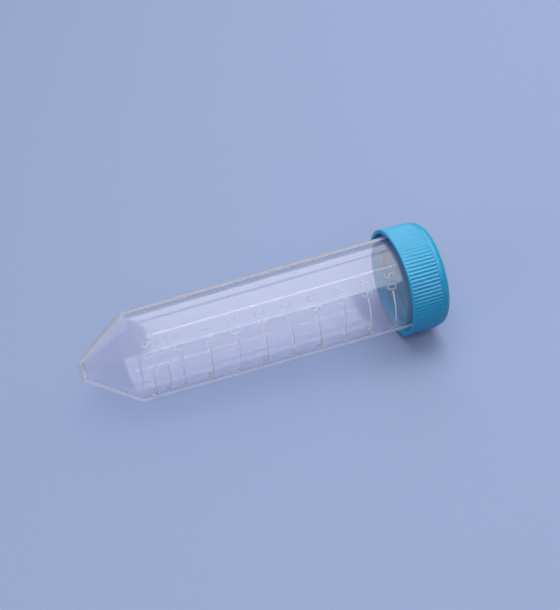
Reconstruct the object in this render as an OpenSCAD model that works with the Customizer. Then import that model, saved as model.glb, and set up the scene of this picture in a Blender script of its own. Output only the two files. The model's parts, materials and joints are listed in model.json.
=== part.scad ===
// 50 ml conical centrifuge tube with a ribbed screw cap, lying on its side.
//
// Each piece is drawn upright on the tube's axis, with the tip face at z = 0
// and the mouth up. lay_down() turns it on its side, where the rim of the cap
// and the shoulder of the tube rest on the plane z = 0.

/* [Tube] */
// Length from the tip face to the mouth
tube_length = 114.2; // [105:0.1:130]
// Outer radius of the neck, the straight stretch that the cap screws on to
neck_r = 15; // [14.2:0.05:16.5]
// Outer radius where the body meets the conical end
shoulder_r = 14.15; // [12.5:0.05:15]
// Height of the conical end
cone_h = 16; // [12:0.1:22]
// Radius of the flat tip face
tip_r = 3; // [2.4:0.05:5]
// Wall thickness
wall = 1.1; // [0.8:0.05:1.5]
// Thickness of the floor in the tip
tip_floor = 1.6; // [1:0.05:3]
// Rounding between the conical end and the body, on the outside
shoulder_round = 2.5; // [2:0.1:4]
// Rounding at the edge of the tip face
tip_round = 0.3; // [0.1:0.05:0.5]
// Rounding at the edges of the mouth
mouth_round = 0.35; // [0.1:0.05:0.35]

/* [Thread] */
// Rise of the thread in one turn
thread_lead = 3.5; // [3:0.1:4.2]
// Turns of thread on the neck
neck_turns = 1.5; // [1:0.25:1.75]
// Turns of thread in the cap
cap_turns = 1.25; // [0.75:0.25:1.5]
// How far a ridge stands out from its wall
ridge_h = 0.8; // [0.5:0.05:0.9]
// Width of a ridge at its foot
ridge_foot = 1.6; // [1.2:0.1:1.8]
// Width of a ridge at its crest
ridge_crest = 0.7; // [0.4:0.1:1]
// Distance from the mouth down to the upper end of the neck's thread
ridge_below_mouth = 2.2; // [2:0.1:3]
// Clearance between the ridges of each thread and the other piece
thread_clearance = 0.3; // [0.2:0.05:0.5]

/* [Cap] */
// Height of the cap
cap_h = 13.3; // [12.5:0.1:16]
// Thickness of the cap's end
cap_end_t = 1.4; // [1:0.1:2]
// Thickness of the skirt at its rim
lip_t = 1.1; // [0.8:0.05:1.5]
// How far the inside of the skirt opens out at its rim
rim_flare = 0.4; // [0.1:0.05:0.5]
// Height of the plain lip below the ribs
lip_h = 0.6; // [0.5:0.1:1.5]
// How much the skirt narrows from the lip to the end of the ribs
cap_draft = 0.3; // [0:0.05:0.5]
// Number of grip ribs
rib_count = 90; // [60:2:100]
// Length of the grip ribs
rib_length = 9.8; // [6:0.1:10]
// How far the ribs stand out
rib_h = 0.3; // [0.15:0.05:0.4]
// Rounding between the skirt and the end
cap_round = 2.3; // [1:0.1:2.5]
// Rounding at the outer edge of the rim
rim_round = 0.3; // [0.1:0.05:0.4]

/* [Seal] */
// Thickness of the sealing disc
seal_t = 1; // [0.6:0.1:1.5]
// Gap left on each flat side of the disc
seal_gap = 0.05; // [0.02:0.01:0.2]
// Gap left round the edge of the disc
seal_side_gap = 0.2; // [0.1:0.05:0.3]
// How far the bead that keeps the disc in the cap reaches under it
bead_reach = 0.25; // [0.15:0.05:0.35]

/* [Graduations] */
// How far the lines stand out from the wall
line_h = 0.15; // [0.05:0.05:0.3]
// Width of the lines
line_w = 0.45; // [0.3:0.05:0.8]
// Angle round the axis, counted from the underside, where the lines end
line_end = 276; // [240:1:320]
// Angle that the long lines span
line_span = 40; // [20:1:60]
// Angle that the two short lines span
short_span = 29; // [10:1:40]

/* [Hidden] */
$fn = 96;
plastic_clear = [0.72, 0.76, 0.88, 0.6];
disc_white = [0.93, 0.93, 0.9];
cap_blue = [0.16, 0.63, 0.84];
// Straight pieces in a rounding, and degrees in one step of a thread
arc_steps = 6;
thread_step = 10;
// How deep a raised feature reaches into the wall that carries it
embed = 0.4;

// Heights on the axis, counted from the tip face
seal_z = tube_length + seal_gap;
cap_ceiling_z = seal_z + seal_t + seal_gap;
cap_end_z = cap_ceiling_z + cap_end_t;
cap_rim_z = cap_end_z - cap_h;
rib_z = cap_rim_z + lip_h;
rib_end_z = rib_z + rib_length;
neck_z = cap_rim_z - 0.4;

// Radii of the thread, the skirt and the sealing disc
neck_ridge_r = neck_r + ridge_h;
cap_ridge_r = neck_r + thread_clearance;
skirt_r = neck_ridge_r + thread_clearance;
rim_inner_r = skirt_r + rim_flare;
cap_rim_r = rim_inner_r + lip_t;
cap_end_r = cap_rim_r - cap_draft;
seal_r = skirt_r - seal_side_gap;

// The neck's helix is at neck_helix_z at angle 0. The cap's helix runs below
// it by the same drop at every angle, so the two never meet as the cap turns.
neck_helix_z = tube_length - ridge_below_mouth - neck_turns * thread_lead;
cap_helix_z = neck_helix_z - (ridge_foot + ridge_crest) / 2 - thread_clearance;
cap_helix_start = 360 * (cap_rim_z + ridge_foot - cap_helix_z) / thread_lead;

// Slopes of the wall, and the cavity of the conical end
cone_slope = (shoulder_r - tip_r) / cone_h;
body_slope = (neck_r - shoulder_r) / (neck_z - cone_h);
cone_wall = wall / cos(atan(cone_slope));
floor_r = tip_r + tip_floor * cone_slope - cone_wall;
cavity_cone_z = (shoulder_r - wall - body_slope * cone_h - tip_r + cone_wall)
    / (cone_slope - body_slope);
cavity_cone_r = body_r(cavity_cone_z) - wall;

// Corners of the outline, as [radius, height]
tip_corner = [tip_r, 0];
shoulder_corner = [shoulder_r, cone_h];
neck_corner = [neck_r, neck_z];
cavity_neck = [neck_r - wall, neck_z];
cavity_shoulder = [cavity_cone_r, cavity_cone_z];
cavity_tip = [floor_r, tip_floor];

// Lying down, the piece leans on the roundings of the cap's rim and of the
// shoulder. The axis rises by lie_angle towards the cap.
rim_centre = [cap_rim_r - rim_round, cap_rim_z + rim_round];
shoulder_centre = round_centre(tip_corner, shoulder_corner, neck_corner, shoulder_round);
tip_centre = round_centre([0, 0], tip_corner, shoulder_corner, tip_round);
end_centre = [cap_end_r - rib_h - cap_round, cap_end_z - cap_round];
lean = rim_centre - shoulder_centre;
lie_angle = atan2(lean[0], lean[1]) + asin((rim_round - shoulder_round) / norm(lean));
lift = rim_centre * [cos(lie_angle), -sin(lie_angle)] + rim_round;
high_x = end_centre * [sin(lie_angle), cos(lie_angle)] + cap_round;
low_x = tip_centre * [-sin(lie_angle), cos(lie_angle)] - tip_round;

// Volumes in millilitres that have a line, the first of them a short one
volumes = [5, 7.5, for (v = [10:5:50]) v];
short_lines = 2;

// Outer radius of the body at a height between the shoulder and the neck
function body_r(z) = shoulder_r + body_slope * (z - cone_h);

// Height that a volume fills the upright tube to, above its conical end
function fill_z(millilitres) =
    let (
        cone = PI / (3 * cone_slope) * (pow(cavity_cone_r, 3) - pow(floor_r, 3)),
        rest = 1000 * millilitres - cone,
        r = cavity_cone_r
    )
    cavity_cone_z + (abs(body_slope) < 1e-6
        ? rest / (PI * r * r)
        : (pow(pow(r, 3) + 3 * body_slope * rest / PI, 1 / 3) - r) / body_slope);

function toward(a, b) = (b - a) / norm(b - a);

// Centre of the rounding of radius r at corner b, between edges to a and c
function round_centre(a, b, c, r) =
    let (u = toward(b, a), v = toward(b, c))
    b + toward([0, 0], u + v) * r / sin(acos(u * v) / 2);

// Points along that rounding, from the edge to a round to the edge to c
function rounding(a, b, c, r) =
    let (
        u = toward(b, a),
        v = toward(b, c),
        m = round_centre(a, b, c, r),
        reach = r / tan(acos(u * v) / 2),
        p = b + u * reach - m,
        q = b + v * reach - m,
        first = atan2(p[1], p[0]),
        turn = acos(p * q / (r * r)) * sign(p[0] * q[1] - p[1] * q[0])
    )
    [for (i = [0:arc_steps])
        let (angle = first + turn * i / arc_steps)
        m + r * [cos(angle), sin(angle)]];

module lay_down() {
    translate([-(high_x + low_x) / 2, 0, lift])
        rotate([0, 90 - lie_angle, 0]) children();
}

// A helical ridge from a wall of radius foot_r to crest_r. It follows the
// thread from one angle to another and sinks into the wall at both ends.
module helix_ridge(foot_r, crest_r, z_at_0, from, turns) {
    out = sign(crest_r - foot_r);
    steps = ceil(360 * turns / thread_step);
    fade_steps = 3;
    points = [for (i = [0:steps])
        let (
            angle = from + 360 * turns * i / steps,
            z = z_at_0 + thread_lead * angle / 360,
            height = min(1, i / fade_steps, (steps - i) / fade_steps),
            top_r = foot_r - out * embed / 4 * (1 - height) + (crest_r - foot_r) * height,
            root_r = foot_r - out * embed
        )
        for (p = [[root_r, -out * ridge_foot / 2], [top_r, -out * ridge_crest / 2],
                  [top_r, out * ridge_crest / 2], [root_r, out * ridge_foot / 2]])
            [p[0] * cos(angle), p[0] * sin(angle), z + p[1]]];
    sides = [for (i = [0:steps - 1], j = [0:3])
        let (a = 4 * i + j, b = 4 * i + (j + 1) % 4)
        for (face = [[a, b, b + 4], [a, b + 4, a + 4]]) face];
    first = [3, 2, 1, 0];
    last = [for (j = [0:3]) 4 * steps + j];
    polyhedron(points, concat(sides, [first, last]), convexity = 6);
}

// A raised line on the body at a height, over an angle that ends at line_end
module graduation(z, span) {
    rotate([0, 0, line_end - span]) rotate_extrude(angle = span)
        translate([body_r(z), z]) polygon([
            [-embed, -line_w / 2], [0, -line_w / 2], [line_h, -line_w / 4],
            [line_h, line_w / 4], [0, line_w / 2], [-embed, line_w / 2]
        ]);
}

module tube_wall() {
    mouth_out = [neck_r, tube_length];
    mouth_in = [neck_r - wall, tube_length];
    rotate_extrude() polygon(concat(
        [[0, 0]],
        rounding([0, 0], tip_corner, shoulder_corner, tip_round),
        rounding(tip_corner, shoulder_corner, neck_corner, shoulder_round),
        [neck_corner],
        rounding(neck_corner, mouth_out, mouth_in, mouth_round),
        rounding(mouth_out, mouth_in, cavity_neck, mouth_round),
        [cavity_neck],
        rounding(cavity_neck, cavity_shoulder, cavity_tip, shoulder_round - wall),
        [cavity_tip, [0, tip_floor]]
    ));
}

module tube() {
    color(plastic_clear) lay_down() union() {
        tube_wall();
        helix_ridge(neck_r, neck_ridge_r, neck_helix_z, 0, neck_turns);
        for (i = [0:len(volumes) - 1])
            graduation(fill_z(volumes[i]), i < short_lines ? short_span : line_span);
    }
}

module sealing_disc() {
    color(disc_white) lay_down() translate([0, 0, seal_z]) cylinder(h = seal_t, r = seal_r);
}

// The cap without its ribs and thread. A bead under the disc keeps it in.
module cap_shell() {
    band_r = cap_end_r - rib_h;
    bead_r = seal_r - bead_reach;
    bead_z = seal_z - 0.15;
    rim_in = [rim_inner_r, cap_rim_z];
    rim_out = [cap_rim_r, cap_rim_z];
    end_corner = [band_r, cap_end_z];
    rotate_extrude() polygon(concat(
        [rim_in],
        rounding(rim_in, rim_out, [cap_rim_r, rib_z], rim_round),
        [[cap_rim_r, rib_z], [cap_rim_r - rib_h, rib_z], [band_r, rib_end_z]],
        rounding([band_r, rib_end_z], end_corner, [0, cap_end_z], cap_round),
        [[0, cap_end_z], [0, cap_ceiling_z], [skirt_r, cap_ceiling_z],
         [skirt_r, bead_z], [bead_r, bead_z - 0.15], [bead_r, bead_z - 0.35],
         [skirt_r, bead_z - 0.8], [skirt_r, cap_rim_z + 3 * rim_flare]]
    ));
}

// The grip ribs: teeth of constant section, trimmed to the skirt's draft
module cap_ribs() {
    pitch = 360 / rib_count;
    foot = 0.36 * pitch;
    crest = 0.16 * pitch;
    intersection() {
        translate([0, 0, rib_z - embed]) linear_extrude(rib_length + embed) difference() {
            polygon([for (i = [0:rib_count - 1])
                for (p = [[cap_end_r - rib_h - 0.1, -foot], [cap_rim_r + 0.1, -crest],
                          [cap_rim_r + 0.1, crest], [cap_end_r - rib_h - 0.1, foot]])
                    p[0] * [cos(i * pitch + p[1]), sin(i * pitch + p[1])]]);
            circle(r = cap_end_r - rib_h - embed);
        }
        translate([0, 0, rib_z - embed])
            cylinder(h = rib_length + embed, r1 = cap_rim_r - 0.05, r2 = cap_end_r);
    }
}

module screw_cap() {
    color(cap_blue) lay_down() union() {
        cap_shell();
        cap_ribs();
        helix_ridge(skirt_r, cap_ridge_r, cap_helix_z, cap_helix_start, cap_turns);
    }
}

tube();
sealing_disc();
screw_cap();
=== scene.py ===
"""A 50 ml conical centrifuge tube with its ribbed screw cap, lying closed on a pale bench.

Every turned piece is drawn upright on the Z axis, with the tip face at z = 0, by the same outline
as its solid in the frame. It is then laid on its side along the axis that the frame gives.
"""

from __future__ import annotations

import json
import logging
import math
from collections.abc import Iterator, Sequence
from contextlib import contextmanager
from dataclasses import dataclass, replace
from enum import Enum
from typing import Any

import bpy
from mathutils import Matrix, Quaternion, Vector

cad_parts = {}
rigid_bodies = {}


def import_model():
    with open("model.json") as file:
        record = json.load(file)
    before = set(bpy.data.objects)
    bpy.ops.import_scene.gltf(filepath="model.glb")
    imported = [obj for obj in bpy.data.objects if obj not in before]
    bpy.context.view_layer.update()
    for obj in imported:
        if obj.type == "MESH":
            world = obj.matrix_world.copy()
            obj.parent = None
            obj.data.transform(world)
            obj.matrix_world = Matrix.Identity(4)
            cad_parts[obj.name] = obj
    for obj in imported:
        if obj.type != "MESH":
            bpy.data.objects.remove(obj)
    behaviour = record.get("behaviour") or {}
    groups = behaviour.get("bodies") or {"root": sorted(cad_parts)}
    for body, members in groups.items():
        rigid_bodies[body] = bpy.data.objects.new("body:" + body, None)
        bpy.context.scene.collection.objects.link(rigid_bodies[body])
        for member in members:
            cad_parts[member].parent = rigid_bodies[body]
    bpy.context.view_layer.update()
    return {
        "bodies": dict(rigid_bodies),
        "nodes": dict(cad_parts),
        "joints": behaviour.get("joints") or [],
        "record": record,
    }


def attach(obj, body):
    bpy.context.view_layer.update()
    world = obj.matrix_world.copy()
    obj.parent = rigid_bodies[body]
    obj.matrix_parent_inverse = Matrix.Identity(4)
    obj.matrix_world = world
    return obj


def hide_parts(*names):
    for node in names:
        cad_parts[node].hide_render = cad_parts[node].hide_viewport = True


LOG = logging.getLogger("conical_tube")
MM = 0.001  # in metres
MILLILITRE = 1e-6  # in cubic metres
FULL_TURN = 2 * math.pi
MERGE_DISTANCE = 1e-6  # under which two vertices become one
NOISE_MIDDLE = (0.3, 0.7)  # where most values of a noise lie
POLYPROPYLENE_IOR = 1.49

Thing = bpy.types.Object
Socket = bpy.types.NodeSocket
Span = tuple[float, float]
Triple = tuple[float, float, float]
Colour = tuple[float, float, float, float]


# ---------------------------------------------------------------- modelling


def deselect_all() -> None:
    """Leaves nothing selected and no object active."""
    for thing in bpy.context.selected_objects:
        thing.select_set(False)
    bpy.context.view_layer.objects.active = None


def pick(*things: Thing) -> None:
    """Selects only these objects and makes the first one active.

    Args:
        things: The objects to select.
    """
    deselect_all()
    for thing in things:
        thing.select_set(True)
    bpy.context.view_layer.objects.active = things[0]


@contextmanager
def editing(thing: Thing, chosen: set[int] | None = None) -> Iterator[None]:
    """Holds an object in edit mode, in vertex mode.

    Args:
        thing: The object to edit.
        chosen: The numbers of the vertices to select. None selects everything.

    Yields:
        Nothing, while the object is in edit mode.
    """
    pick(thing)
    bpy.ops.object.mode_set(mode="EDIT")
    bpy.ops.mesh.select_mode(type="VERT")
    bpy.ops.mesh.select_all(action="SELECT" if chosen is None else "DESELECT")
    if chosen is not None:
        bpy.ops.object.mode_set(mode="OBJECT")
        for number in chosen:
            thing.data.vertices[number].select = True
        bpy.ops.object.mode_set(mode="EDIT")
    yield
    bpy.ops.object.mode_set(mode="OBJECT")


def apply_modifier(thing: Thing, modifier: bpy.types.Modifier) -> None:
    """Applies a modifier of an object."""
    pick(thing)
    bpy.ops.object.modifier_apply(modifier=modifier.name)


def smooth(thing: Thing, angle: float) -> None:
    """Smooths the shading across edges under an angle, in degrees."""
    pick(thing)
    bpy.ops.object.shade_smooth_by_angle(angle=math.radians(angle))


def close_seams(thing: Thing, distance: float = MERGE_DISTANCE) -> None:
    """Merges the doubles at seams and poles, and turns the faces outwards.

    Args:
        thing: The object.
        distance: How near two vertices are merged.
    """
    with editing(thing):
        bpy.ops.mesh.remove_doubles(threshold=distance)
        bpy.ops.mesh.normals_make_consistent(inside=False)


def settle(thing: Thing) -> None:
    """Puts an object's place, turn and size into its mesh."""
    pick(thing)
    bpy.ops.object.transform_apply(location=True, rotation=True, scale=True)


def place(thing: Thing, matrix: Matrix) -> None:
    """Moves an object by a matrix and puts the move into its mesh."""
    thing.matrix_world = matrix @ thing.matrix_world
    settle(thing)


def copy_of(thing: Thing) -> Thing:
    """Copies an object.

    Args:
        thing: The object.

    Returns:
        The copy, which has its own mesh.
    """
    pick(thing)
    bpy.ops.object.duplicate(linked=False)
    return bpy.context.active_object


def remove(thing: Thing) -> None:
    """Deletes an object."""
    pick(thing)
    bpy.ops.object.delete()


def joined(name: str, parts: Sequence[Thing]) -> Thing:
    """Joins parts into one object.

    Args:
        name: The name of the result.
        parts: The objects to join. The first one stays.

    Returns:
        The joined object.
    """
    pick(*parts)
    bpy.ops.object.join()
    parts[0].name = name
    return parts[0]


def unite(body: Thing, added: Thing) -> None:
    """Unites a closed body with another one, whose faces keep their materials.

    Args:
        body: The body that stays.
        added: The body that is added to it and deleted.
    """
    union = body.modifiers.new("union", "BOOLEAN")
    union.operation = "UNION"
    union.solver = "MANIFOLD"
    union.material_mode = "TRANSFER"
    union.object = added
    apply_modifier(body, union)
    remove(added)
    with editing(body):
        bpy.ops.mesh.remove_doubles(threshold=MERGE_DISTANCE)


def dress(thing: Thing, *materials: bpy.types.Material) -> None:
    """Gives an object its materials.

    Args:
        thing: The object.
        materials: What its slots hold, in their order.
    """
    thing.data.materials.clear()
    for material in materials:
        thing.data.materials.append(material)


@dataclass(frozen=True)
class Corner:
    """A corner of an outline.

    Attributes:
        r: Distance from the axis, in metres.
        z: Height on the axis, in metres.
        rounding: Radius that the corner is rounded to, or 0 for a sharp one.
    """

    r: float
    z: float
    rounding: float = 0.0

    @property
    def point(self) -> Vector:
        """The corner itself in the XZ plane."""
        return Vector((self.r, 0.0, self.z))

    def rounded(self, before: Corner, after: Corner, steps: int) -> list[Vector]:
        """Draws the rounding between the edges to two neighbours.

        Args:
            before: The corner before this one.
            after: The corner after this one.
            steps: How many straight pieces the arc has.

        Returns:
            The points, from the edge to `before` to the edge to `after`.
        """
        if self.rounding <= 0:
            return [self.point]
        back = (before.point - self.point).normalized()
        ahead = (after.point - self.point).normalized()
        half = back.angle(ahead) / 2
        reach = self.rounding / math.tan(half)
        centre = self.point + (back + ahead).normalized() * (self.rounding / math.sin(half))
        first = (self.point + back * reach - centre).normalized()
        last = (self.point + ahead * reach - centre).normalized()
        turns = [first.slerp(last, step / steps) for step in range(steps + 1)]
        return [centre + turn * self.rounding for turn in turns]


def outline(corners: Sequence[Corner], steps: int = 8, longest: float = 4 * MM) -> list[Vector]:
    """Draws an open outline with its corners rounded and its long edges divided.

    Args:
        corners: The corners in order. The first and the last stay sharp.
        steps: Straight pieces in each rounding.
        longest: The longest edge that is left undivided.

    Returns:
        The points in the XZ plane.
    """
    points = [corners[0].point]
    for before, here, after in zip(corners, corners[1:], corners[2:], strict=False):
        points += here.rounded(before, after, steps)
    points.append(corners[-1].point)
    divided = [points[0]]
    for start, end in zip(points, points[1:], strict=False):
        pieces = max(1, math.ceil((end - start).length / longest))
        divided += [start.lerp(end, i / pieces) for i in range(1, pieces + 1)]
    return divided


def drawn(name: str, points: Sequence[Vector]) -> Thing:
    """Draws a chain of edges by extruding one vertex from point to point.

    Args:
        name: The name of the object.
        points: The points to pass through.

    Returns:
        The object, a bare chain of edges.
    """
    deselect_all()
    bpy.ops.mesh.primitive_plane_add(size=MM, location=points[0])
    chain = bpy.context.active_object
    chain.name = name
    with editing(chain):
        bpy.ops.mesh.merge(type="CENTER")
        for here, there in zip(points, points[1:], strict=False):
            move = {"value": there - here}
            bpy.ops.mesh.extrude_vertices_move(TRANSFORM_OT_translate=move)
    settle(chain)
    return chain


def turned(name: str, points: Sequence[Vector], segments: int) -> Thing:
    """Turns an outline round the Z axis into a closed body.

    Args:
        name: The name of the object.
        points: The outline, which starts and ends on the axis.
        segments: Faces round the axis.

    Returns:
        The turned object.
    """
    body = drawn(name, points)
    with editing(body):
        bpy.ops.mesh.spin(steps=segments, angle=FULL_TURN, center=(0, 0, 0), axis=(0, 0, 1))
    close_seams(body)
    return body


def swept(
    name: str,
    section: Sequence[Vector],
    turn: float,
    steps: int,
    rise: float = 0.0,
    sink: float = 0.0,
    fade: int = 3,
) -> Thing:
    """Sweeps a closed section round the Z axis, level or as a helix.

    Args:
        name: The name of the object.
        section: The section's corners in the XZ plane.
        turn: The angle swept, in radians.
        steps: Straight pieces along the sweep.
        rise: How far the section rises over the whole sweep.
        sink: How far both ends move towards the axis, to hide them in a wall. Below 0 they move
            out.
        fade: Straight pieces over which an end sinks.

    Returns:
        The closed ridge.
    """

    def shift(step: int) -> float:
        """How far the section is moved out at a step."""
        return sink * (min(1.0, step / fade, (steps - step) / fade) - 1)

    ridge = drawn(name, section)
    with editing(ridge):
        bpy.ops.mesh.edge_face_add()
        if sink:
            bpy.ops.transform.translate(value=(shift(0), 0, 0))
        for step in range(1, steps + 1):
            angle = turn * step / steps
            out = shift(step) - shift(step - 1)
            bpy.ops.mesh.extrude_region_move()
            bpy.ops.transform.rotate(
                value=-turn / steps,
                orient_axis="Z",
                orient_type="GLOBAL",
                center_override=(0, 0, 0),
            )
            bpy.ops.transform.translate(
                value=(out * math.cos(angle), out * math.sin(angle), rise / steps)
            )
    close_seams(ridge)
    return ridge


class Side(Enum):
    """The side of a round wall that carries a ridge, with the sense in which it stands out."""

    OUTSIDE = 1
    INSIDE = -1


@dataclass(frozen=True)
class ThreadForm:
    """The coarse thread that the neck and the cap share.

    Attributes:
        lead: Rise in one turn.
        height: How far a ridge stands out.
        foot: A ridge's width at its foot.
        crest: A ridge's width at its crest.
        clearance: Between a ridge and the other piece.
        embed: How deep a ridge reaches into its wall.
        steps: Straight pieces in one turn.
    """

    lead: float = 3.5 * MM
    height: float = 0.8 * MM
    foot: float = 1.6 * MM
    crest: float = 0.7 * MM
    clearance: float = 0.3 * MM
    embed: float = 0.1 * MM
    steps: int = 60

    def ridge(self, name: str, wall_r: float, side: Side, z: float, turns: float) -> Thing:
        """Sweeps one helical ridge, which sinks into its wall at both ends.

        Args:
            name: The name of the object.
            wall_r: Radius of the wall that carries it.
            side: The wall's side that it stands on.
            z: Height where it starts.
            turns: Turns that it makes.

        Returns:
            The ridge.
        """
        inner, outer = wall_r - side.value * self.embed, wall_r + side.value * self.height
        half, flat = self.foot / 2, self.crest / 2
        section = [(inner, -half), (outer, -flat), (outer, flat), (inner, half)]
        points = [Vector((r, 0, z + dz)) for r, dz in section]
        steps = round(self.steps * turns)
        sink = side.value * (self.height + self.embed)
        return swept(name, points, FULL_TURN * turns, steps, turns * self.lead, sink)


@dataclass(frozen=True)
class Placing:
    """How the upright pieces lie in the row frame.

    Attributes:
        tip: Centre of the tip face.
        axis: Direction from the tip to the cap.
    """

    tip: Vector
    axis: Vector

    @classmethod
    def from_frame(cls, frame: dict[str, Any]) -> Placing:
        """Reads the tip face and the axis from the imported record.

        Args:
            frame: The loaded frame.

        Returns:
            The placing.
        """
        mounts = {mount["name"]: mount for mount in frame["record"]["mounts"]}
        face = mounts["tip_face"]
        return cls(tip=Vector(face["pos_m"]), axis=-Vector(face["axis"]).normalized())

    @property
    def matrix(self) -> Matrix:
        """Lays an upright piece down, with its +X side below.

        Returns:
            The move from the upright pose to the row frame.
        """
        side = Vector((0, 1, 0))
        turn = Matrix((side.cross(self.axis), side, self.axis)).transposed().to_4x4()
        return Matrix.Translation(self.tip) @ turn


# ---------------------------------------------------------------- finishes


class Ray(Enum):
    """A kind of light ray that a finish answers in its own way."""

    CAMERA = "Is Camera Ray"
    SHADOW = "Is Shadow Ray"
    DIFFUSE = "Is Diffuse Ray"
    TRANSMISSION = "Is Transmission Ray"


class Graph:
    """The node tree of a material or the world, with short calls to add and link nodes."""

    def __init__(self, owner: bpy.types.Material | bpy.types.World) -> None:
        """Starts an empty tree with only its output.

        Args:
            owner: The material or the world.
        """
        self.owner = owner
        owner.use_nodes = True
        self.tree = owner.node_tree
        self.tree.nodes.clear()
        kind = "World" if isinstance(owner, bpy.types.World) else "Material"
        self.output = self.tree.nodes.new(f"ShaderNodeOutput{kind}")

    @classmethod
    def material(cls, name: str) -> Graph:
        """The empty tree of a new material."""
        return cls(bpy.data.materials.new(name))

    def add(
        self, kind: str, *values: Any, settings: dict[str, Any] | None = None, **named: Any
    ) -> bpy.types.Node:
        """Adds a node.

        Args:
            kind: The node's type.
            values: Values for its first inputs, or sockets to link to them.
            settings: Properties of the node.
            named: The same for inputs by name, with _ for each space in the name.

        Returns:
            The node.
        """
        node = self.tree.nodes.new(kind)
        for key, value in (settings or {}).items():
            setattr(node, key, value)
        inputs = [(key.replace("_", " "), value) for key, value in named.items()]
        for key, value in [*enumerate(values), *inputs]:
            if isinstance(value, Socket):
                self.tree.links.new(value, node.inputs[key])
            else:
                node.inputs[key].default_value = value
        return node

    def here(self) -> Socket:
        """Where a point of the surface lies on its own piece."""
        return self.add("ShaderNodeTexCoord").outputs["Object"]

    def length(self, vector: Socket) -> Socket:
        """The length of a vector."""
        node = self.add("ShaderNodeVectorMath", vector, settings={"operation": "LENGTH"})
        return node.outputs["Value"]

    def maths(self, operation: str, *numbers: Any) -> Socket:
        """The result of a math operation on one or two numbers or sockets."""
        return self.add("ShaderNodeMath", *numbers, settings={"operation": operation}).outputs[0]

    def other_side(self, side: Socket) -> Socket:
        """The other short side of a right-angled triangle whose long side is 1."""
        return self.maths("SQRT", self.maths("SUBTRACT", 1.0, self.maths("POWER", side, 2.0)))

    def ray(self, kind: Ray) -> Socket:
        """Whether the light ray is of a kind, as 1 or 0."""
        return self.add("ShaderNodeLightPath").outputs[kind.value]

    def noise(self, scale: float, detail: float) -> Socket:
        """A noise value on the piece's own coordinates, with its scale per metre."""
        sizes = {"Scale": scale, "Detail": detail}
        return self.add("ShaderNodeTexNoise", Vector=self.here(), **sizes).outputs["Fac"]

    def ramp(self, value: Socket, span: Span, ends: Span, soft: bool = True) -> Socket:
        """Passes from one number to another while a value crosses a span.

        Args:
            value: The value.
            span: Where it starts and where it ends to matter.
            ends: The numbers before and after the span.
            soft: Whether the number starts and ends to change slowly.

        Returns:
            The number's socket.
        """
        settings = {"interpolation_type": "SMOOTHSTEP" if soft else "LINEAR"}
        node = self.add("ShaderNodeMapRange", value, *span, *ends, settings=settings)
        return node.outputs["Result"]

    def between(self, noise: Socket, ends: Span) -> Socket:
        """Spreads the middle of a noise value over a range."""
        return self.ramp(noise, NOISE_MIDDLE, ends, soft=False)

    def blend(self, share: Socket, first: Colour, second: Colour) -> Socket:
        """Blends two colours.

        Args:
            share: How much of the second one shows.
            first: The first colour.
            second: The second colour.

        Returns:
            The blended colour's socket.
        """
        node = self.add("ShaderNodeMix", share, settings={"data_type": "RGBA"})
        colours = [socket for socket in node.inputs if socket.type == "RGBA"]
        for socket, colour in zip(colours, (first, second), strict=True):
            socket.default_value = colour
        return next(socket for socket in node.outputs if socket.type == "RGBA")

    def bump(self, height: Socket, strength: float, distance: float) -> Socket:
        """A bumped normal from a height."""
        sizes = {"Strength": strength, "Distance": distance}
        return self.add("ShaderNodeBump", Height=height, **sizes).outputs[0]

    def mixed(self, share: Any, first: Socket, second: Socket) -> Socket:
        """Two shaders mixed, with the share of the second one as a number or a socket."""
        return self.add("ShaderNodeMixShader", share, first, second).outputs[0]

    def haze(self, colour: Colour, through: float) -> Socket:
        """A milky shader, with the share of its light that comes through from behind."""
        kinds = ("ShaderNodeBsdfDiffuse", "ShaderNodeBsdfTranslucent")
        return self.mixed(through, *(self.add(kind, Color=colour).outputs[0] for kind in kinds))

    def finish(self, surface: Socket) -> bpy.types.Material | bpy.types.World:
        """Links the surface to the output and gives the material or the world."""
        self.tree.links.new(surface, self.output.inputs["Surface"])
        return self.owner

    def finish_clear(self, surface: Socket, shade: Colour) -> bpy.types.Material:
        """Finishes a clear wall, which lets the lamps light what is behind it.

        Args:
            surface: The wall's shader.
            shade: What one surface leaves of the lamps' light.

        Returns:
            The material.
        """
        open_wall = self.add("ShaderNodeBsdfTransparent", Color=shade).outputs[0]
        for kind in (Ray.SHADOW, Ray.DIFFUSE):
            surface = self.mixed(self.ray(kind), surface, open_wall)
        return self.finish(surface)


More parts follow.
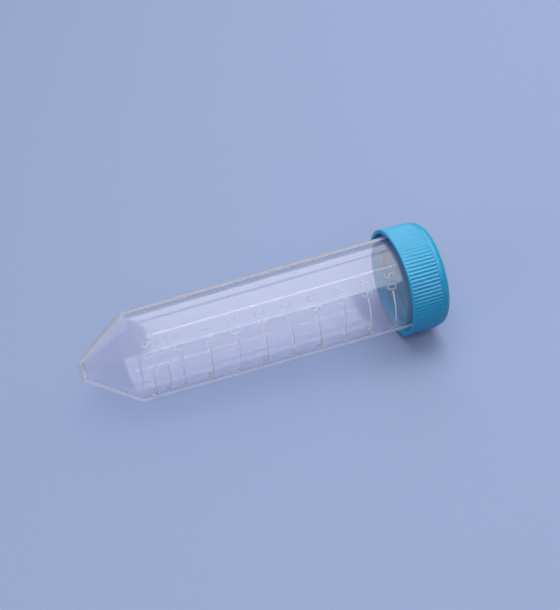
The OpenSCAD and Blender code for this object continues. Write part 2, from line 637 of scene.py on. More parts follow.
@dataclass(frozen=True)
class MilkyPolypropylene:
    """Natural polypropylene: clear enough to see through, with a faint milky haze.

    Near the tube's outline, a mask that follows the direction of view mixes in a pale, lamp-lit
    haze.
    The wall then shows a pale line wherever it is seen edge-on. This is painted edge light,
    standing in for the light that the wall carries along inside it.

    Attributes:
        placing: How the tube lies, which gives its axis.
        tint: Colour of the light that passes a wall.
        edge: Colour of the painted edge light, the pale line where the wall is seen edge-on.
        edge_share: How much of that painted light shows there.
        edge_glow: Share of it that comes through from behind.
        edge_width: Width of the pale line.
        edge_core: Share of the width over which the line keeps its full strength.
        clear: Share of the light that a surface lets through unscattered.
        roughness: Its least and most roughness.
        shade: What each surface leaves of the light from the lamps.
    """

    placing: Placing
    name: str = "milky_polypropylene"
    tint: Colour = (0.975, 0.96, 0.99, 1.0)
    edge: Colour = (1.0, 0.95, 0.93, 1.0)
    edge_share: float = 0.85
    edge_glow: float = 0.5
    edge_width: float = 1.05 * MM
    edge_core: float = 0.7
    clear: float = 0.965
    roughness: Span = (0.045, 0.065)
    shade: Colour = (0.93, 0.935, 0.96, 1.0)

    def edge_on(self, graph: Graph) -> Socket:
        """How much a point shows the wall edge-on, whatever the slant that the tube is seen at.

        The cosine between the surface and the view, both taken across the axis, gives how far a
        point lies inside the tube's outline. The mask follows the direction of view, so what it
        mixes in is painted edge light.

        Args:
            graph: The material's nodes.

        Returns:
            The share of the painted edge light there.
        """
        upright = self.placing.matrix.inverted()
        where = graph.add(
            "ShaderNodeMapping",
            Vector=graph.here(),
            Location=upright.to_translation(),
            Rotation=upright.to_euler("XYZ"),
        )
        level = {"operation": "MULTIPLY"}
        across = graph.add("ShaderNodeVectorMath", where.outputs[0], (1, 1, 0), settings=level)
        radius = graph.length(across.outputs[0])
        plain = {"vector_type": "VECTOR"}
        axis = graph.add("ShaderNodeVectorTransform", tuple(self.placing.axis), settings=plain)
        facing = graph.add("ShaderNodeLayerWeight", Blend=0.5)
        ahead = graph.add("ShaderNodeLayerWeight", Blend=0.5, Normal=axis.outputs[0])
        steep, along = (
            graph.maths("SUBTRACT", 1.0, node.outputs["Facing"]) for node in (facing, ahead)
        )
        cosine = graph.maths("DIVIDE", steep, graph.other_side(along))
        inset = graph.maths("SUBTRACT", 1.0, graph.other_side(cosine))
        core = self.edge_core * self.edge_width
        depth = graph.maths("MULTIPLY", inset, radius)
        return graph.ramp(depth, (core, self.edge_width), (self.edge_share, 0.0))

    def material(self) -> bpy.types.Material:
        """Builds the material.

        Returns:
            The material.
        """
        graph = Graph.material(self.name)
        flow = graph.noise(scale=45.0, detail=3.0)
        skin = graph.noise(scale=900.0, detail=2.0)
        surface = graph.add(
            "ShaderNodeBsdfPrincipled",
            Base_Color=self.tint,
            Roughness=graph.between(flow, self.roughness),
            IOR=POLYPROPYLENE_IOR,
            Transmission_Weight=self.clear,
            Normal=graph.bump(skin, strength=0.03, distance=0.01 * MM),
        ).outputs[0]
        # Painted edge light: a pale, lamp-lit haze mixed in near the outline, by a mask that
        # follows the view.
        if self.edge_share:
            edge = graph.haze(self.edge, self.edge_glow)
            surface = graph.mixed(self.edge_on(graph), surface, edge)
        return graph.finish_clear(surface, self.shade)


@dataclass(frozen=True)
class FrostedMarks:
    """The skin of the raised lines and figures, whose mould is left rough.

    Attributes:
        frost: Share of the light that the rough skin scatters.
        colour: The colour of the scattered light.
        glow: Share of it that comes through from behind.
        clear: Share of the other light that is let through.
        roughness: The least and most roughness for that light.
    """

    name: str
    frost: float
    colour: Colour = (0.95, 0.96, 1.0, 1.0)
    glow: float = 0.35
    clear: float = 0.9
    roughness: Span = (0.1, 0.16)

    def material(self) -> bpy.types.Material:
        """Builds the material.

        Returns:
            The material.
        """
        graph = Graph.material(self.name)
        grain = graph.noise(scale=4000.0, detail=3.0)
        plastic = graph.add(
            "ShaderNodeBsdfPrincipled",
            Base_Color=self.colour,
            Roughness=graph.between(grain, self.roughness),
            IOR=POLYPROPYLENE_IOR,
            Transmission_Weight=self.clear,
            Normal=graph.bump(grain, strength=0.15, distance=0.02 * MM),
        )
        haze = graph.haze(self.colour, self.glow)
        return graph.finish_clear(graph.mixed(self.frost, plastic.outputs[0], haze), self.colour)


@dataclass(frozen=True)
class PigmentedPolyethylene:
    """The cap's sky-blue polyethylene, with a satin skin, deeper where it holds more pigment."""

    colour: Colour = (0.006, 0.42, 0.7, 1.0)
    deep: Colour = (0.004, 0.38, 0.66, 1.0)
    roughness: Span = (0.34, 0.46)

    def material(self) -> bpy.types.Material:
        """Builds the material.

        Returns:
            The material.
        """
        graph = Graph.material("sky_blue_polyethylene")
        cloud = graph.between(graph.noise(scale=70.0, detail=4.0), (0.0, 1.0))
        skin = graph.noise(scale=2600.0, detail=3.0)
        plastic = graph.add(
            "ShaderNodeBsdfPrincipled",
            Base_Color=graph.blend(cloud, self.colour, self.deep),
            Roughness=graph.between(skin, self.roughness),
            IOR=1.51,
            Specular_IOR_Level=0.85,
            Subsurface_Weight=0.8,
            Subsurface_Radius=(0.5, 1.5, 2.0),
            Subsurface_Scale=MM,
            Normal=graph.bump(skin, strength=0.12, distance=0.03 * MM),
        )
        return graph.finish(plastic.outputs[0])


@dataclass(frozen=True)
class LinerFoam:
    """The sealing disc's white closed-cell foam."""

    colour: Colour = (0.86, 0.86, 0.83, 1.0)
    roughness: Span = (0.6, 0.8)

    def material(self) -> bpy.types.Material:
        """Builds the material.

        Returns:
            The material.
        """
        graph = Graph.material("white_liner_foam")
        cells = graph.noise(scale=3500.0, detail=4.0)
        foam = graph.add(
            "ShaderNodeBsdfPrincipled",
            Base_Color=self.colour,
            Roughness=graph.between(cells, self.roughness),
            Normal=graph.bump(cells, strength=0.3, distance=0.05 * MM),
        )
        return graph.finish(foam.outputs[0])


# ---------------------------------------------------------------- tube


class Zone(Enum):
    """A zone of the tube's bare wall with its own finish, and the number of its slot."""

    OUTSIDE = 0
    CAVITY = 1
    TIP_RIM = 2


@dataclass(frozen=True)
class Mark:
    """A volume line, with the figures beside it and the angle that it spans, in degrees."""

    millilitres: float
    text: str
    span: float


@dataclass
class ConicalTube:
    """The tube: one moulding with a conical end, a screw thread and raised marks.

    Lengths are in metres. Heights count from the tip face. Angles are in degrees round the axis,
    counted from the underside.

    Attributes:
        shoulder_r: Outer radius where the conical end meets the body.
        neck_z: Height where the straight neck starts.
        ridge_below_mouth: From the mouth down to the end of the thread.
        line_h: How far the lines stand out.
        line_step: Angle between two sections of a line.
        line_dome: Places of the points across a line's rounded section, from edge to edge.
        figure_rise: How far the figures and the unit stand out.
        figure_angles: Where the first and the last figure of a mark stand.
        unit_h: Height that a figure would have in the unit's type.
        type_size: Size of the type whose figures are 1 high.
        type_trim: What each side of that type's strokes loses.
        embed: How deep the raised parts reach into the wall.
        line_frost: Share of the light that the lines' skin scatters, as the next two give for the
            figures and the tip's rim, where the pale haze also stands in for a highlight.
        tolerance: How near the wall's radius a point counts as on it.
    """

    placing: Placing
    length: float = 114.2 * MM
    neck_r: float = 15.0 * MM
    shoulder_r: float = 14.15 * MM
    cone_h: float = 16.0 * MM
    tip_r: float = 3.0 * MM
    wall: float = 1.1 * MM
    tip_floor: float = 1.6 * MM
    shoulder_round: float = 2.5 * MM
    tip_round: float = 0.3 * MM
    mouth_round: float = 0.35 * MM
    neck_z: float = 103.0 * MM
    thread: ThreadForm = ThreadForm()
    thread_turns: float = 1.5
    ridge_below_mouth: float = 2.2 * MM
    line_h: float = 0.1 * MM
    line_w: float = 0.5 * MM
    line_end: float = 276.0
    line_step: float = 2.0
    line_dome: tuple[float, ...] = (-1.0, -0.7, -0.35, 0.0, 0.35, 0.7, 1.0)
    long_span: float = 40.0
    short_span: float = 29.0
    figure_h: float = 3.2 * MM
    figure_rise: float = 0.1 * MM
    figure_bevel: float = 0.04 * MM
    figure_angles: Span = (217.0, 231.0)
    point_angle: float = 224.0
    unit_h: float = 2.7 * MM
    unit_angle: float = 284.0
    type_size: float = 1.515
    type_trim: float = 0.008
    embed: float = 0.1 * MM
    line_frost: float = 0.9
    figure_frost: float = 0.28
    tip_frost: float = 0.8
    cavity_roughness: Span = (0.08, 0.12)
    segments: int = 288
    smooth_angle: float = 32.0
    tolerance: float = 0.003 * MM

    @property
    def marks(self) -> list[Mark]:
        """Two short lines near the conical end, then a long one every 5 ml from 10 ml to 50 ml."""
        short = [Mark(volume, str(volume), self.short_span) for volume in (5.0, 7.5)]
        return short + [Mark(volume, str(volume), self.long_span) for volume in range(10, 51, 5)]

    @property
    def body_slope(self) -> float:
        """How much the body's radius grows with its height."""
        return (self.neck_r - self.shoulder_r) / (self.neck_z - self.cone_h)

    @property
    def cone_slope(self) -> float:
        """How much the conical end's radius grows with its height."""
        return (self.shoulder_r - self.tip_r) / self.cone_h

    @property
    def cone_wall(self) -> float:
        """Thickness of the conical end's wall, measured level."""
        return self.wall * math.hypot(1, self.cone_slope)

    @property
    def floor_r(self) -> float:
        """Radius of the cavity's floor."""
        return self.tip_r + self.tip_floor * self.cone_slope - self.cone_wall

    @property
    def cavity_shoulder(self) -> Corner:
        """Finds where the cavity's cone meets its body.

        Returns:
            The corner there.
        """
        rise = self.shoulder_r - self.wall - self.body_slope * self.cone_h - self.tip_r
        z = (rise + self.cone_wall) / (self.cone_slope - self.body_slope)
        return Corner(self.body_r(z) - self.wall, z, self.shoulder_round - self.wall)

    @property
    def helix_z(self) -> float:
        """Height of the neck's helix at angle 0."""
        return self.length - self.ridge_below_mouth - self.thread_turns * self.thread.lead

    def body_r(self, z: float) -> float:
        """Outer radius of the body at a height."""
        return self.shoulder_r + self.body_slope * (z - self.cone_h)

    def fill_z(self, millilitres: float) -> float:
        """Height that a volume fills the upright tube to.

        Args:
            millilitres: The volume, which is more than the conical end holds.

        Returns:
            The height.
        """
        shoulder = self.cavity_shoulder
        cone = math.pi / (3 * self.cone_slope) * (shoulder.r**3 - self.floor_r**3)
        rest = millilitres * MILLILITRE - cone
        grown = (shoulder.r**3 + 3 * self.body_slope * rest / math.pi) ** (1 / 3)
        return shoulder.z + (grown - shoulder.r) / self.body_slope

    def make_wall(self) -> Thing:
        """Turns the wall, from the tip face up the outside and down the cavity.

        Returns:
            The bare wall, with a material for each zone.
        """
        inner_neck = self.neck_r - self.wall
        corners = [
            Corner(0, 0),
            Corner(self.tip_r, 0, self.tip_round),
            Corner(self.shoulder_r, self.cone_h, self.shoulder_round),
            Corner(self.neck_r, self.neck_z),
            Corner(self.neck_r, self.length, self.mouth_round),
            Corner(inner_neck, self.length, self.mouth_round),
            Corner(inner_neck, self.neck_z),
            self.cavity_shoulder,
            Corner(self.floor_r, self.tip_floor, self.tip_round),
            Corner(0, self.tip_floor),
        ]
        wall = turned("tube_wall", outline(corners), self.segments)
        outside = MilkyPolypropylene(self.placing)
        # The cavity's faces get no painted edge light.
        inside = {"edge_share": 0.0, "roughness": self.cavity_roughness}
        cavity = replace(outside, name="milky_cavity", **inside)
        # The tip's rounded rim gets the frosted skin, whose pale haze draws a light line round the
        # tip face: partly painted highlight.
        tip_rim = FrostedMarks("frosted_tip_rim_highlight", self.tip_frost)
        dress(wall, *(finish.material() for finish in (outside, cavity, tip_rim)))
        for face in wall.data.polygons:
            face.material_index = self.zone_at(face.center).value
        return wall

    def zone_at(self, point: Vector) -> Zone:
        """The zone that a point of the bare wall's surface lies in.

        Args:
            point: The point, on the upright tube.

        Returns:
            The zone.
        """
        radius = point.xy.length
        if point.z < self.tip_round and radius > self.tip_r - self.tip_round:
            return Zone.TIP_RIM
        outer = min(self.tip_r + self.cone_slope * point.z, self.body_r(point.z), self.neck_r)
        inside = point.z > self.tip_floor / 2 and radius < outer - self.wall / 2
        return Zone.CAVITY if inside else Zone.OUTSIDE

    def make_thread(self) -> Thing:
        """Sweeps the neck's helical ridge."""
        form, turns = self.thread, self.thread_turns
        return form.ridge("tube_thread", self.neck_r, Side.OUTSIDE, self.helix_z, turns)

    def make_line(self, mark: Mark) -> Thing:
        """Sweeps the raised line of one mark.

        Args:
            mark: The mark.

        Returns:
            The line, with a rounded section.
        """
        z = self.fill_z(mark.millilitres)
        r, half = self.body_r(z), self.line_w / 2
        dome = [(self.line_h * (1 - side * side), half * side) for side in self.line_dome]
        section = [(-self.embed, -half), *dome, (-self.embed, half)]
        points = [Vector((r + out, 0, z + dz)) for out, dz in section]
        steps = round(mark.span / self.line_step)
        line = swept(f"line_{mark.text}", points, math.radians(mark.span), steps)
        place(line, Matrix.Rotation(math.radians(self.line_end - mark.span), 4, "Z"))
        return line

    def make_character(self, text: str, height: float) -> Thing:
        """Models raised characters, centred on the origin and facing +Z.

        The type is set in millimetres, in which its curves come out fine, and then made small.

        Args:
            text: One or two characters.
            height: The height of a figure.

        Returns:
            The closed letter shapes.
        """
        deselect_all()
        bpy.ops.object.text_add()
        letters = bpy.context.active_object
        letters.data.body = text
        letters.data.size = self.type_size * height / MM
        letters.data.resolution_u = 4
        letters.data.offset = -self.type_trim * height / MM
        letters.data.extrude = ((self.figure_rise + self.embed) / 2 - self.figure_bevel) / MM
        letters.data.bevel_depth = self.figure_bevel / MM
        letters.data.bevel_resolution = 1
        pick(letters)
        bpy.ops.object.convert(target="MESH")
        close_seams(letters, MERGE_DISTANCE / MM)
        place(letters, Matrix.Scale(MM, 4))
        corners = [Vector(corner) for corner in letters.bound_box]
        low, high = Vector(map(min, *corners)), Vector(map(max, *corners))
        middle = (low + high) / 2
        if text == ".":
            middle.y = low.y + height / 2
        place(letters, Matrix.Translation(-middle))
        return letters

    def stand_on_wall(self, letters: Thing, angle: float, z: float) -> None:
        """Puts characters on the wall, reading round it with their tops towards the mouth.

        Args:
            letters: The characters, centred on the origin.
            angle: Their place round the axis, in degrees.
            z: Their height on the axis.
        """
        turn = math.radians(angle)
        out = Vector((math.cos(turn), math.sin(turn), 0))
        along = Vector((-math.sin(turn), math.cos(turn), 0))
        up = Vector((0, 0, 1))
        matrix = Matrix((along, up, out)).transposed().to_4x4()
        r = self.body_r(z) + (self.figure_rise - self.embed) / 2
        place(letters, Matrix.Translation(out * r + up * z) @ matrix)

    def make_figures(self) -> list[Thing]:
        """Puts the figures at every mark, and the unit at its line's end.

        Returns:
            The raised characters.
        """
        first, last = self.figure_angles
        characters = sorted({character for mark in self.marks for character in mark.text})
        patterns = {each: self.make_character(each, self.figure_h) for each in characters}
        patterns["ml"] = self.make_character("ml", self.unit_h)
        made = []
        for mark in self.marks:
            places = [(mark.text[0], first), (mark.text[-1], last)]
            if "." in mark.text:
                places.append((".", self.point_angle))
            for text, angle in [*places, ("ml", self.unit_angle)]:
                letters = copy_of(patterns[text])
                self.stand_on_wall(letters, angle, self.fill_z(mark.millilitres))
                made.append(letters)
        for pattern in patterns.values():
            remove(pattern)
        return made

    def on_bare_outside(self, point: Vector) -> bool:
        """Whether a point lies on the outside of the body or neck, and not on a raised part.

        Args:
            point: The point, on the upright tube.

        Returns:
            Whether it does.
        """
        radius = self.body_r(point.z) if point.z < self.neck_z else self.neck_r
        straight = self.cone_h + self.shoulder_round < point.z < self.length - self.mouth_round
        return straight and abs(point.xy.length - radius) < self.tolerance

    def shade_like(self, wall: Thing, bare: Thing) -> None:
        """Gives the skin round the raised parts the even shading of the bare wall.

        Args:
            wall: The wall with its raised parts.
            bare: The wall without them.
        """
        skin = [vertex.index for vertex in wall.data.vertices if self.on_bare_outside(vertex.co)]
        wall.vertex_groups.new(name="skin").add(skin, 1.0, "REPLACE")
        shading = wall.modifiers.new("shading", "DATA_TRANSFER")
        shading.object = bare
        shading.use_loop_data = True
        shading.data_types_loops = {"CUSTOM_NORMAL"}
        shading.loop_mapping = "POLYINTERP_NEAREST"
        shading.vertex_group = "skin"
        apply_modifier(wall, shading)
        wall.vertex_groups.clear()

    def build(self) -> Thing:
        """Unites the wall with its thread, lines and figures, and lays it down.

        Returns:
            The finished tube.
        """
        wall = self.make_wall()
        lines = joined("lines", [self.make_line(mark) for mark in self.marks])
        dress(lines, FrostedMarks("frosted_lines", self.line_frost).material())
        figures = joined("figures", self.make_figures())
        dress(figures, FrostedMarks("frosted_figures", self.figure_frost).material())
        thread = self.make_thread()
        dress(thread, wall.data.materials[Zone.OUTSIDE.value])
        raised = joined("raised_parts", [lines, figures, thread])
        smooth(wall, self.smooth_angle)
        bare = copy_of(wall)
        unite(wall, raised)
        smooth(wall, self.smooth_angle)
        self.shade_like(wall, bare)
        remove(bare)
        place(wall, self.placing.matrix)
        wall.name = "clear_tube"
        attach(wall, "tube")
        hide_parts("tube")
        return wall


# ---------------------------------------------------------------- cap


@dataclass
class ScrewCap:
    """The ribbed screw cap: a skirt with grip ribs outside and a thread inside, and a plain end.

    Lengths are in metres. The cap is drawn on the closed tube, so its heights count from the tip
    face too.

    Attributes:
        lip_t: Thickness of the skirt at its rim.
        lip_h: Height of the plain lip below the ribs.
        rim_flare: How far the inside of the skirt opens out at its rim, over flare_h.
        draft: How much the skirt narrows along the ribs.
        rib_h: How far the ribs stand out.
        rib_sides: Share of that for each column of points across one rib.
        rib_rise: The same along a rib, from its foot up to where it fades.
        rib_fall: The same over its last rib_fade.
        seal_gap: Gap on each flat side of the sealing disc.
        bead_reach: How far the bead that keeps the disc in reaches under it.
        bead_drops: How far under the disc the bead starts, is at its full reach, and ends.
        tolerance: How near a ring of the shell a point counts as on it.
    """

    tube: ConicalTube
    height: float = 13.3 * MM
    end_t: float = 1.4 * MM
    end_round: float = 2.3 * MM
    lip_t: float = 1.1 * MM
    lip_h: float = 0.6 * MM
    rim_flare: float = 0.4 * MM
    flare_h: float = 1.2 * MM
    rim_round: float = 0.3 * MM
    draft: float = 0.3 * MM
    rib_count: int = 90
    rib_length: float = 9.8 * MM
    rib_h: float = 0.3 * MM
    rib_fade: float = 0.4 * MM
    rib_sides: tuple[float, ...] = (1.0, 0.86, 0.14, 0.0, 0.14, 0.86)
    rib_rise: tuple[float, ...] = (0.84, 0.88, 0.92, 0.96, 1.0)
    rib_fall: tuple[float, ...] = (0.92, 0.7, 0.35, 0.0)
    seal_t: float = 1.0 * MM
    seal_gap: float = 0.05 * MM
    seal_side_gap: float = 0.2 * MM
    bead_reach: float = 0.25 * MM
    bead_drops: tuple[float, ...] = (0.15 * MM, 0.3 * MM, 0.5 * MM, 0.95 * MM)
    bead_round: float = 0.1 * MM
    thread_turns: float = 1.25
    smooth_angle: float = 50.0
    tolerance: float = 0.01 * MM

    @property
    def seal_z(self) -> float:
        """Height of the sealing disc's lower side."""
        return self.tube.length + self.seal_gap

    @property
    def ceiling_z(self) -> float:
        """Height of the inside of the end."""
        return self.seal_z + self.seal_t + self.seal_gap

    @property
    def rim_z(self) -> float:
        """Height of the open rim."""
        return self.ceiling_z + self.end_t - self.height

    @property
    def skirt_r(self) -> float:
        """Inner radius of the skirt."""
        return self.tube.neck_r + self.tube.thread.height + self.tube.thread.clearance

    @property
    def rim_r(self) -> float:
        """Outer radius of the rim."""
        return self.skirt_r + self.rim_flare + self.lip_t

    @property
    def rib_rows(self) -> list[tuple[float, float]]:
        """Lists the rings of points along the ribs.

        Returns:
            The height of each, with the share of its height that a rib has there.
        """
        start, full = self.rim_z + self.lip_h, self.rib_length - self.rib_fade
        rise, fall = len(self.rib_rise) - 1, len(self.rib_fall)
        heights = [start + full * i / rise for i in range(rise + 1)]
        heights += [start + full + self.rib_fade * i / fall for i in range(1, fall + 1)]
        return list(zip(heights, self.rib_rise + self.rib_fall, strict=True))

    def skirt_outer_r(self, z: float) -> float:
        """Outer radius of the skirt between its ribs, which narrows to the end."""
        along = (z - self.rim_z - self.lip_h) / self.rib_length
        return self.rim_r - self.rib_h - self.draft * along

    def make_shell(self) -> Thing:
        """Turns the shell, from the ceiling down the inside, round the rim and up the outside.

        Returns:
            The shell, whose faces round the axis fit the columns of the ribs.
        """
        end_z = self.ceiling_z + self.end_t
        bead_r = self.skirt_r - self.seal_side_gap - self.bead_reach
        bead_top, full_top, full_end, bead_end = (self.seal_z - drop for drop in self.bead_drops)
        band_r = self.skirt_outer_r(self.rib_rows[-1][0])
        corners = [
            Corner(0, self.ceiling_z),
            Corner(self.skirt_r, self.ceiling_z),
            Corner(self.skirt_r, bead_top),
            Corner(bead_r, full_top, self.bead_round),
            Corner(bead_r, full_end, self.bead_round),
            Corner(self.skirt_r, bead_end),
            Corner(self.skirt_r, self.rim_z + self.flare_h),
            Corner(self.skirt_r + self.rim_flare, self.rim_z),
            Corner(self.rim_r, self.rim_z, self.rim_round),
            Corner(self.rim_r, self.rim_z + self.lip_h),
            *[Corner(self.skirt_outer_r(z), z) for z, _ in self.rib_rows],
            Corner(band_r, end_z, self.end_round),
            Corner(0, end_z),
        ]
        points = outline(corners, steps=6)
        return turned("cap_shell", points, self.rib_count * len(self.rib_sides))

    def raise_ribs(self, shell: Thing) -> None:
        """Moves the rib columns of the skirt outwards.

        Args:
            shell: The turned shell.
        """
        columns = len(self.rib_sides)
        step = FULL_TURN / (self.rib_count * columns)
        rows = [(z, self.skirt_outer_r(z), share) for z, share in self.rib_rows]
        lifts: dict[float, set[int]] = {}
        for vertex in shell.data.vertices:
            column = round(math.atan2(vertex.co.y, vertex.co.x) / step) % columns
            for z, r, share in rows:
                off = (vertex.co.xy.length - r, vertex.co.z - z)
                if max(map(abs, off)) < self.tolerance:
                    lifts.setdefault(share * self.rib_sides[column], set()).add(vertex.index)
        middle_r = self.skirt_outer_r(self.rib_rows[len(self.rib_rise) // 2][0])
        for lift, chosen in lifts.items():
            if lift:
                factor = 1 + lift * self.rib_h / middle_r
                with editing(shell, chosen):
                    bpy.ops.transform.resize(value=(factor, factor, 1), center_override=(0, 0, 0))

    def make_thread(self) -> Thing:
        """Sweeps the skirt's helical ridge, which runs under the neck's.

        Returns:
            The ridge.
        """
        form = self.tube.thread
        helix_z = self.tube.helix_z - (form.foot + form.crest) / 2 - form.clearance
        start_z = self.rim_z + form.foot
        ridge = form.ridge("cap_thread", self.skirt_r, Side.INSIDE, start_z, self.thread_turns)
        place(ridge, Matrix.Rotation(FULL_TURN * (start_z - helix_z) / form.lead, 4, "Z"))
        return ridge

    def build(self) -> Thing:
        """Unites the ribbed shell with its thread and lays it down.

        Returns:
            The finished cap.
        """
        cap = self.make_shell()
        self.raise_ribs(cap)
        unite(cap, self.make_thread())
        smooth(cap, self.smooth_angle)
        place(cap, self.tube.placing.matrix)
        cap.name = "blue_screw_cap"
        dress(cap, PigmentedPolyethylene().material())
        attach(cap, "cap")
        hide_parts("screw_cap")
        return cap


@dataclass(frozen=True)
class SealingDisc:
    """The loose liner in the cap, which keeps the shape of its solid in the frame."""

    solid: Thing

    def build(self) -> Thing:
        """Dresses the disc and gives it back."""
        dress(self.solid, LinerFoam().material())
        return self.solid


# ---------------------------------------------------------------- studio


def hang_lamp(name: str, size: Span, radiance: float, middle: Vector, turn: Quaternion) -> Thing:
    """Hangs a rectangular lamp, which the camera doesn't see.

    Args:
        name: The lamp's name.
        size: Its width and height.
        radiance: Brightness, where 1 is white.
        middle: Where its middle hangs.
        turn: Its turn from facing straight down.

    Returns:
        The lamp.
    """
    data = bpy.data.lights.new(name, "AREA")
    data.shape = "RECTANGLE"
    data.size, data.size_y = size
    data.energy = radiance * math.pi * size[0] * size[1]
    lamp = bpy.data.objects.new(name, data)
    bpy.context.scene.collection.objects.link(lamp)
    lamp.location = middle
    lamp.rotation_mode = "QUATERNION"
    lamp.rotation_quaternion = turn
    lamp.visible_camera = False
    return lamp


@dataclass(frozen=True)
class Softbox:
    """A lamp that bridges a stretch of the arch over the tube.

    Attributes:
        start: Where its panel starts on the arch, in degrees up from the front.
        end: Where its panel ends.
        radiance: Brightness, where 1 is white.
        only_mirrored: Whether it shows in gloss but leaves matt surfaces unlit.
    """

    name: str
    start: float
    end: float
    radiance: float
    colour: Triple = (1.0, 1.0, 1.0)
    only_mirrored: bool = False

    def build(self, reach: float, across: Span) -> Thing:
        """Hangs the lamp.

        Args:
            reach: The arch's radius, to the panel's edges.
            across: Where the panel starts and ends along the tube.

        Returns:
            The lamp.
        """
        angle = math.radians((self.start + self.end) / 2)
        half = math.radians((self.end - self.start) / 2)
        size = (across[1] - across[0], 2 * reach * math.sin(half))
        towards = Vector((0, -math.cos(angle), math.sin(angle)))
        middle = towards * reach * math.cos(half) + Vector((sum(across) / 2, 0, 0))
        turn = Quaternion((1, 0, 0), math.pi / 2 - angle)
        lamp = hang_lamp(self.name, size, self.radiance, middle, turn)
        lamp.data.color = self.colour
        lamp.visible_diffuse = not self.only_mirrored
        return lamp


@dataclass(frozen=True)
class Fill:
    """A broad soft lamp, turned to the tube, that lights matt surfaces but leaves no highlight.

    Attributes:
        middle: Where it hangs.
        size: Its width and height.
        radiance: Brightness, where 1 is white.
        only_mirrored: Whether it shows in gloss instead and leaves matt surfaces unlit.
    """

    name: str
    middle: Triple
    size: float
    radiance: float
    only_mirrored: bool = False

    def build(self) -> Thing:
        """Hangs the lamp.

        Returns:
            The lamp.
        """
        middle = Vector(self.middle)
        turn = (-middle).to_track_quat("-Z", "Y")
        lamp = hang_lamp(self.name, (self.size, self.size), self.radiance, middle, turn)
        lamp.visible_transmission = False
        lamp.visible_glossy = self.only_mirrored
        lamp.visible_diffuse = not self.only_mirrored
        return lamp


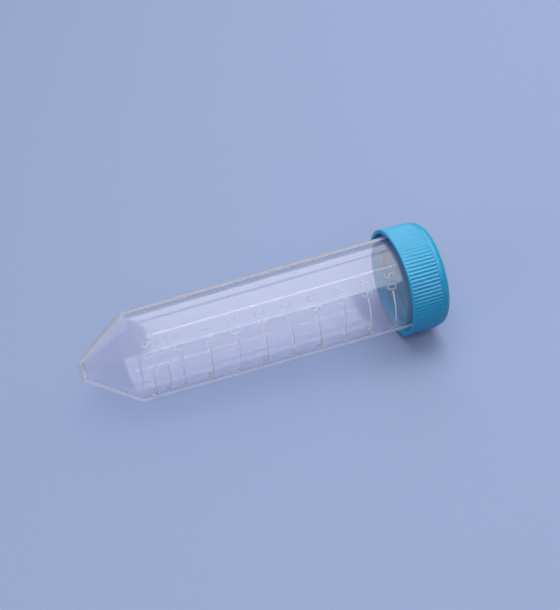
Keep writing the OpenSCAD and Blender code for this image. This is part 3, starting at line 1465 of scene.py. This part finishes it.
@dataclass(frozen=True)
class Studio:
    """The pale bench, the lamps over it and the camera.

    Attributes:
        bench: Colour of the bench and of the background.
        bounced: Colour of the light that the bench throws back on the tube.
        sweep: How far out the bench starts and ends to pass into the plain background.
        daylight: Colour of the even light from all round, whose strength is ambient.
        reach: Radius of the arch of softboxes.
        across: Where the softboxes start and end along the tube.
        azimuth: Where the camera stands round the tube, in degrees.
        elevation: How steeply it looks down.
        distance: From the camera to the point that it looks at.
        aim: That point.
        lens: Focal length in millimetres.
        softboxes: The arch: a broad panel in front, a bright warm strip beside it that draws the
            thin light line along the tube, and two panels behind.
        fills: Lamps for the matt surfaces, and a low panel that only the cone's gloss shows.
    """

    bench: Colour = (0.31, 0.39, 0.61, 1.0)
    bench_size: float = 6.0
    bounced: Colour = (0.02, 0.06, 0.25, 1.0)
    sweep: Span = (0.2, 0.6)
    daylight: Colour = (0.95, 0.97, 1.0, 1.0)
    ambient: float = 0.12
    reach: float = 0.7
    across: Span = (0.04, 0.5)
    azimuth: float = -21.26
    elevation: float = 40.26
    distance: float = 573.9 * MM
    aim: Triple = (6.7 * MM, 0.0, 20.2 * MM)
    lens: float = 108.48
    softboxes: tuple[Softbox, ...] = (
        Softbox("front_panel", 42.0, 82.6, 2.3, only_mirrored=True),
        Softbox("seam", 82.6, 85.4, 6.5, (1.0, 0.91, 0.82), only_mirrored=True),
        Softbox("back_panel", 85.4, 125.5, 2.4),
        Softbox("low_back_panel", 130.5, 154.0, 1.8),
    )
    fills: tuple[Fill, ...] = (
        Fill("overhead_fill", (-0.1, 0.05, 0.9), 0.6, 2.2),
        Fill("front_fill", (-0.12, -0.6, 0.65), 0.5, 3.4),
        Fill("tip_side_fill", (-0.75, -0.35, 0.45), 0.5, 1.5),
        Fill("cap_side_fill", (0.8, 0.2, 0.4), 0.5, 1.6),
        Fill("cone_panel", (-0.3, 0.6, 0.22), 0.6, 0.9, only_mirrored=True),
    )

    def build_bench(self) -> Thing:
        """Lays the plain bench under the tube.

        Returns:
            The bench, which passes into the background at a distance.
        """
        deselect_all()
        bpy.ops.mesh.primitive_plane_add(size=self.bench_size, location=(0, 0, 0))
        bench = bpy.context.active_object
        bench.name = "bench"
        graph = Graph.material("pale_bench")
        bounce = graph.ray(Ray.DIFFUSE)
        top = graph.add(
            "ShaderNodeBsdfPrincipled",
            Base_Color=graph.blend(bounce, self.bench, self.bounced),
            Roughness=0.75,
            Specular_IOR_Level=0.2,
        )
        passed = graph.ramp(graph.length(graph.here()), self.sweep, (0.0, 1.0))
        seen = graph.maths("MULTIPLY", passed, graph.maths("SUBTRACT", 1.0, bounce))
        plain = graph.add("ShaderNodeEmission", Color=self.bench).outputs[0]
        dress(bench, graph.finish(graph.mixed(seen, top.outputs[0], plain)))
        return bench

    def build_world(self) -> None:
        """Sets the even light from all round, which the camera and clear plastic see as pale."""
        world = bpy.data.worlds.new("room")
        bpy.context.scene.world = world
        graph = Graph(world)
        light = graph.add("ShaderNodeBackground", Color=self.daylight, Strength=self.ambient)
        seen = graph.add("ShaderNodeBackground", Color=self.bench)
        looked_at = graph.maths("MAXIMUM", graph.ray(Ray.CAMERA), graph.ray(Ray.TRANSMISSION))
        graph.finish(graph.mixed(looked_at, light.outputs[0], seen.outputs[0]))

    def build_camera(self) -> Thing:
        """Stands the camera.

        Returns:
            The camera.
        """
        a, e = math.radians(self.azimuth), math.radians(self.elevation)
        back = Vector((math.sin(a) * math.cos(e), -math.cos(a) * math.cos(e), math.sin(e)))
        data = bpy.data.cameras.new("camera")
        data.lens = self.lens
        data.clip_start = 10 * MM
        camera = bpy.data.objects.new("camera", data)
        bpy.context.scene.collection.objects.link(camera)
        camera.location = Vector(self.aim) + back * self.distance
        camera.rotation_mode = "QUATERNION"
        camera.rotation_quaternion = (-back).to_track_quat("-Z", "Y")
        bpy.context.scene.camera = camera
        return camera

    def build(self) -> None:
        """Sets up the whole studio."""
        self.build_camera()
        self.build_bench()
        self.build_world()
        for softbox in self.softboxes:
            softbox.build(self.reach, self.across)
        for fill in self.fills:
            fill.build()
        bpy.context.scene.view_settings.view_transform = "Standard"


def main() -> None:
    """Builds the studio and every piece."""
    logging.basicConfig(level=logging.INFO, format="%(name)s: %(message)s")
    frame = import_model()
    Studio().build()
    tube = ConicalTube(Placing.from_frame(frame))
    disc = SealingDisc(frame["nodes"]["sealing_disc"])
    for part in (tube, ScrewCap(tube), disc):
        piece = part.build()
        LOG.info("%s: %d faces", piece.name, len(piece.data.polygons))


if __name__ == "__main__":
    main()
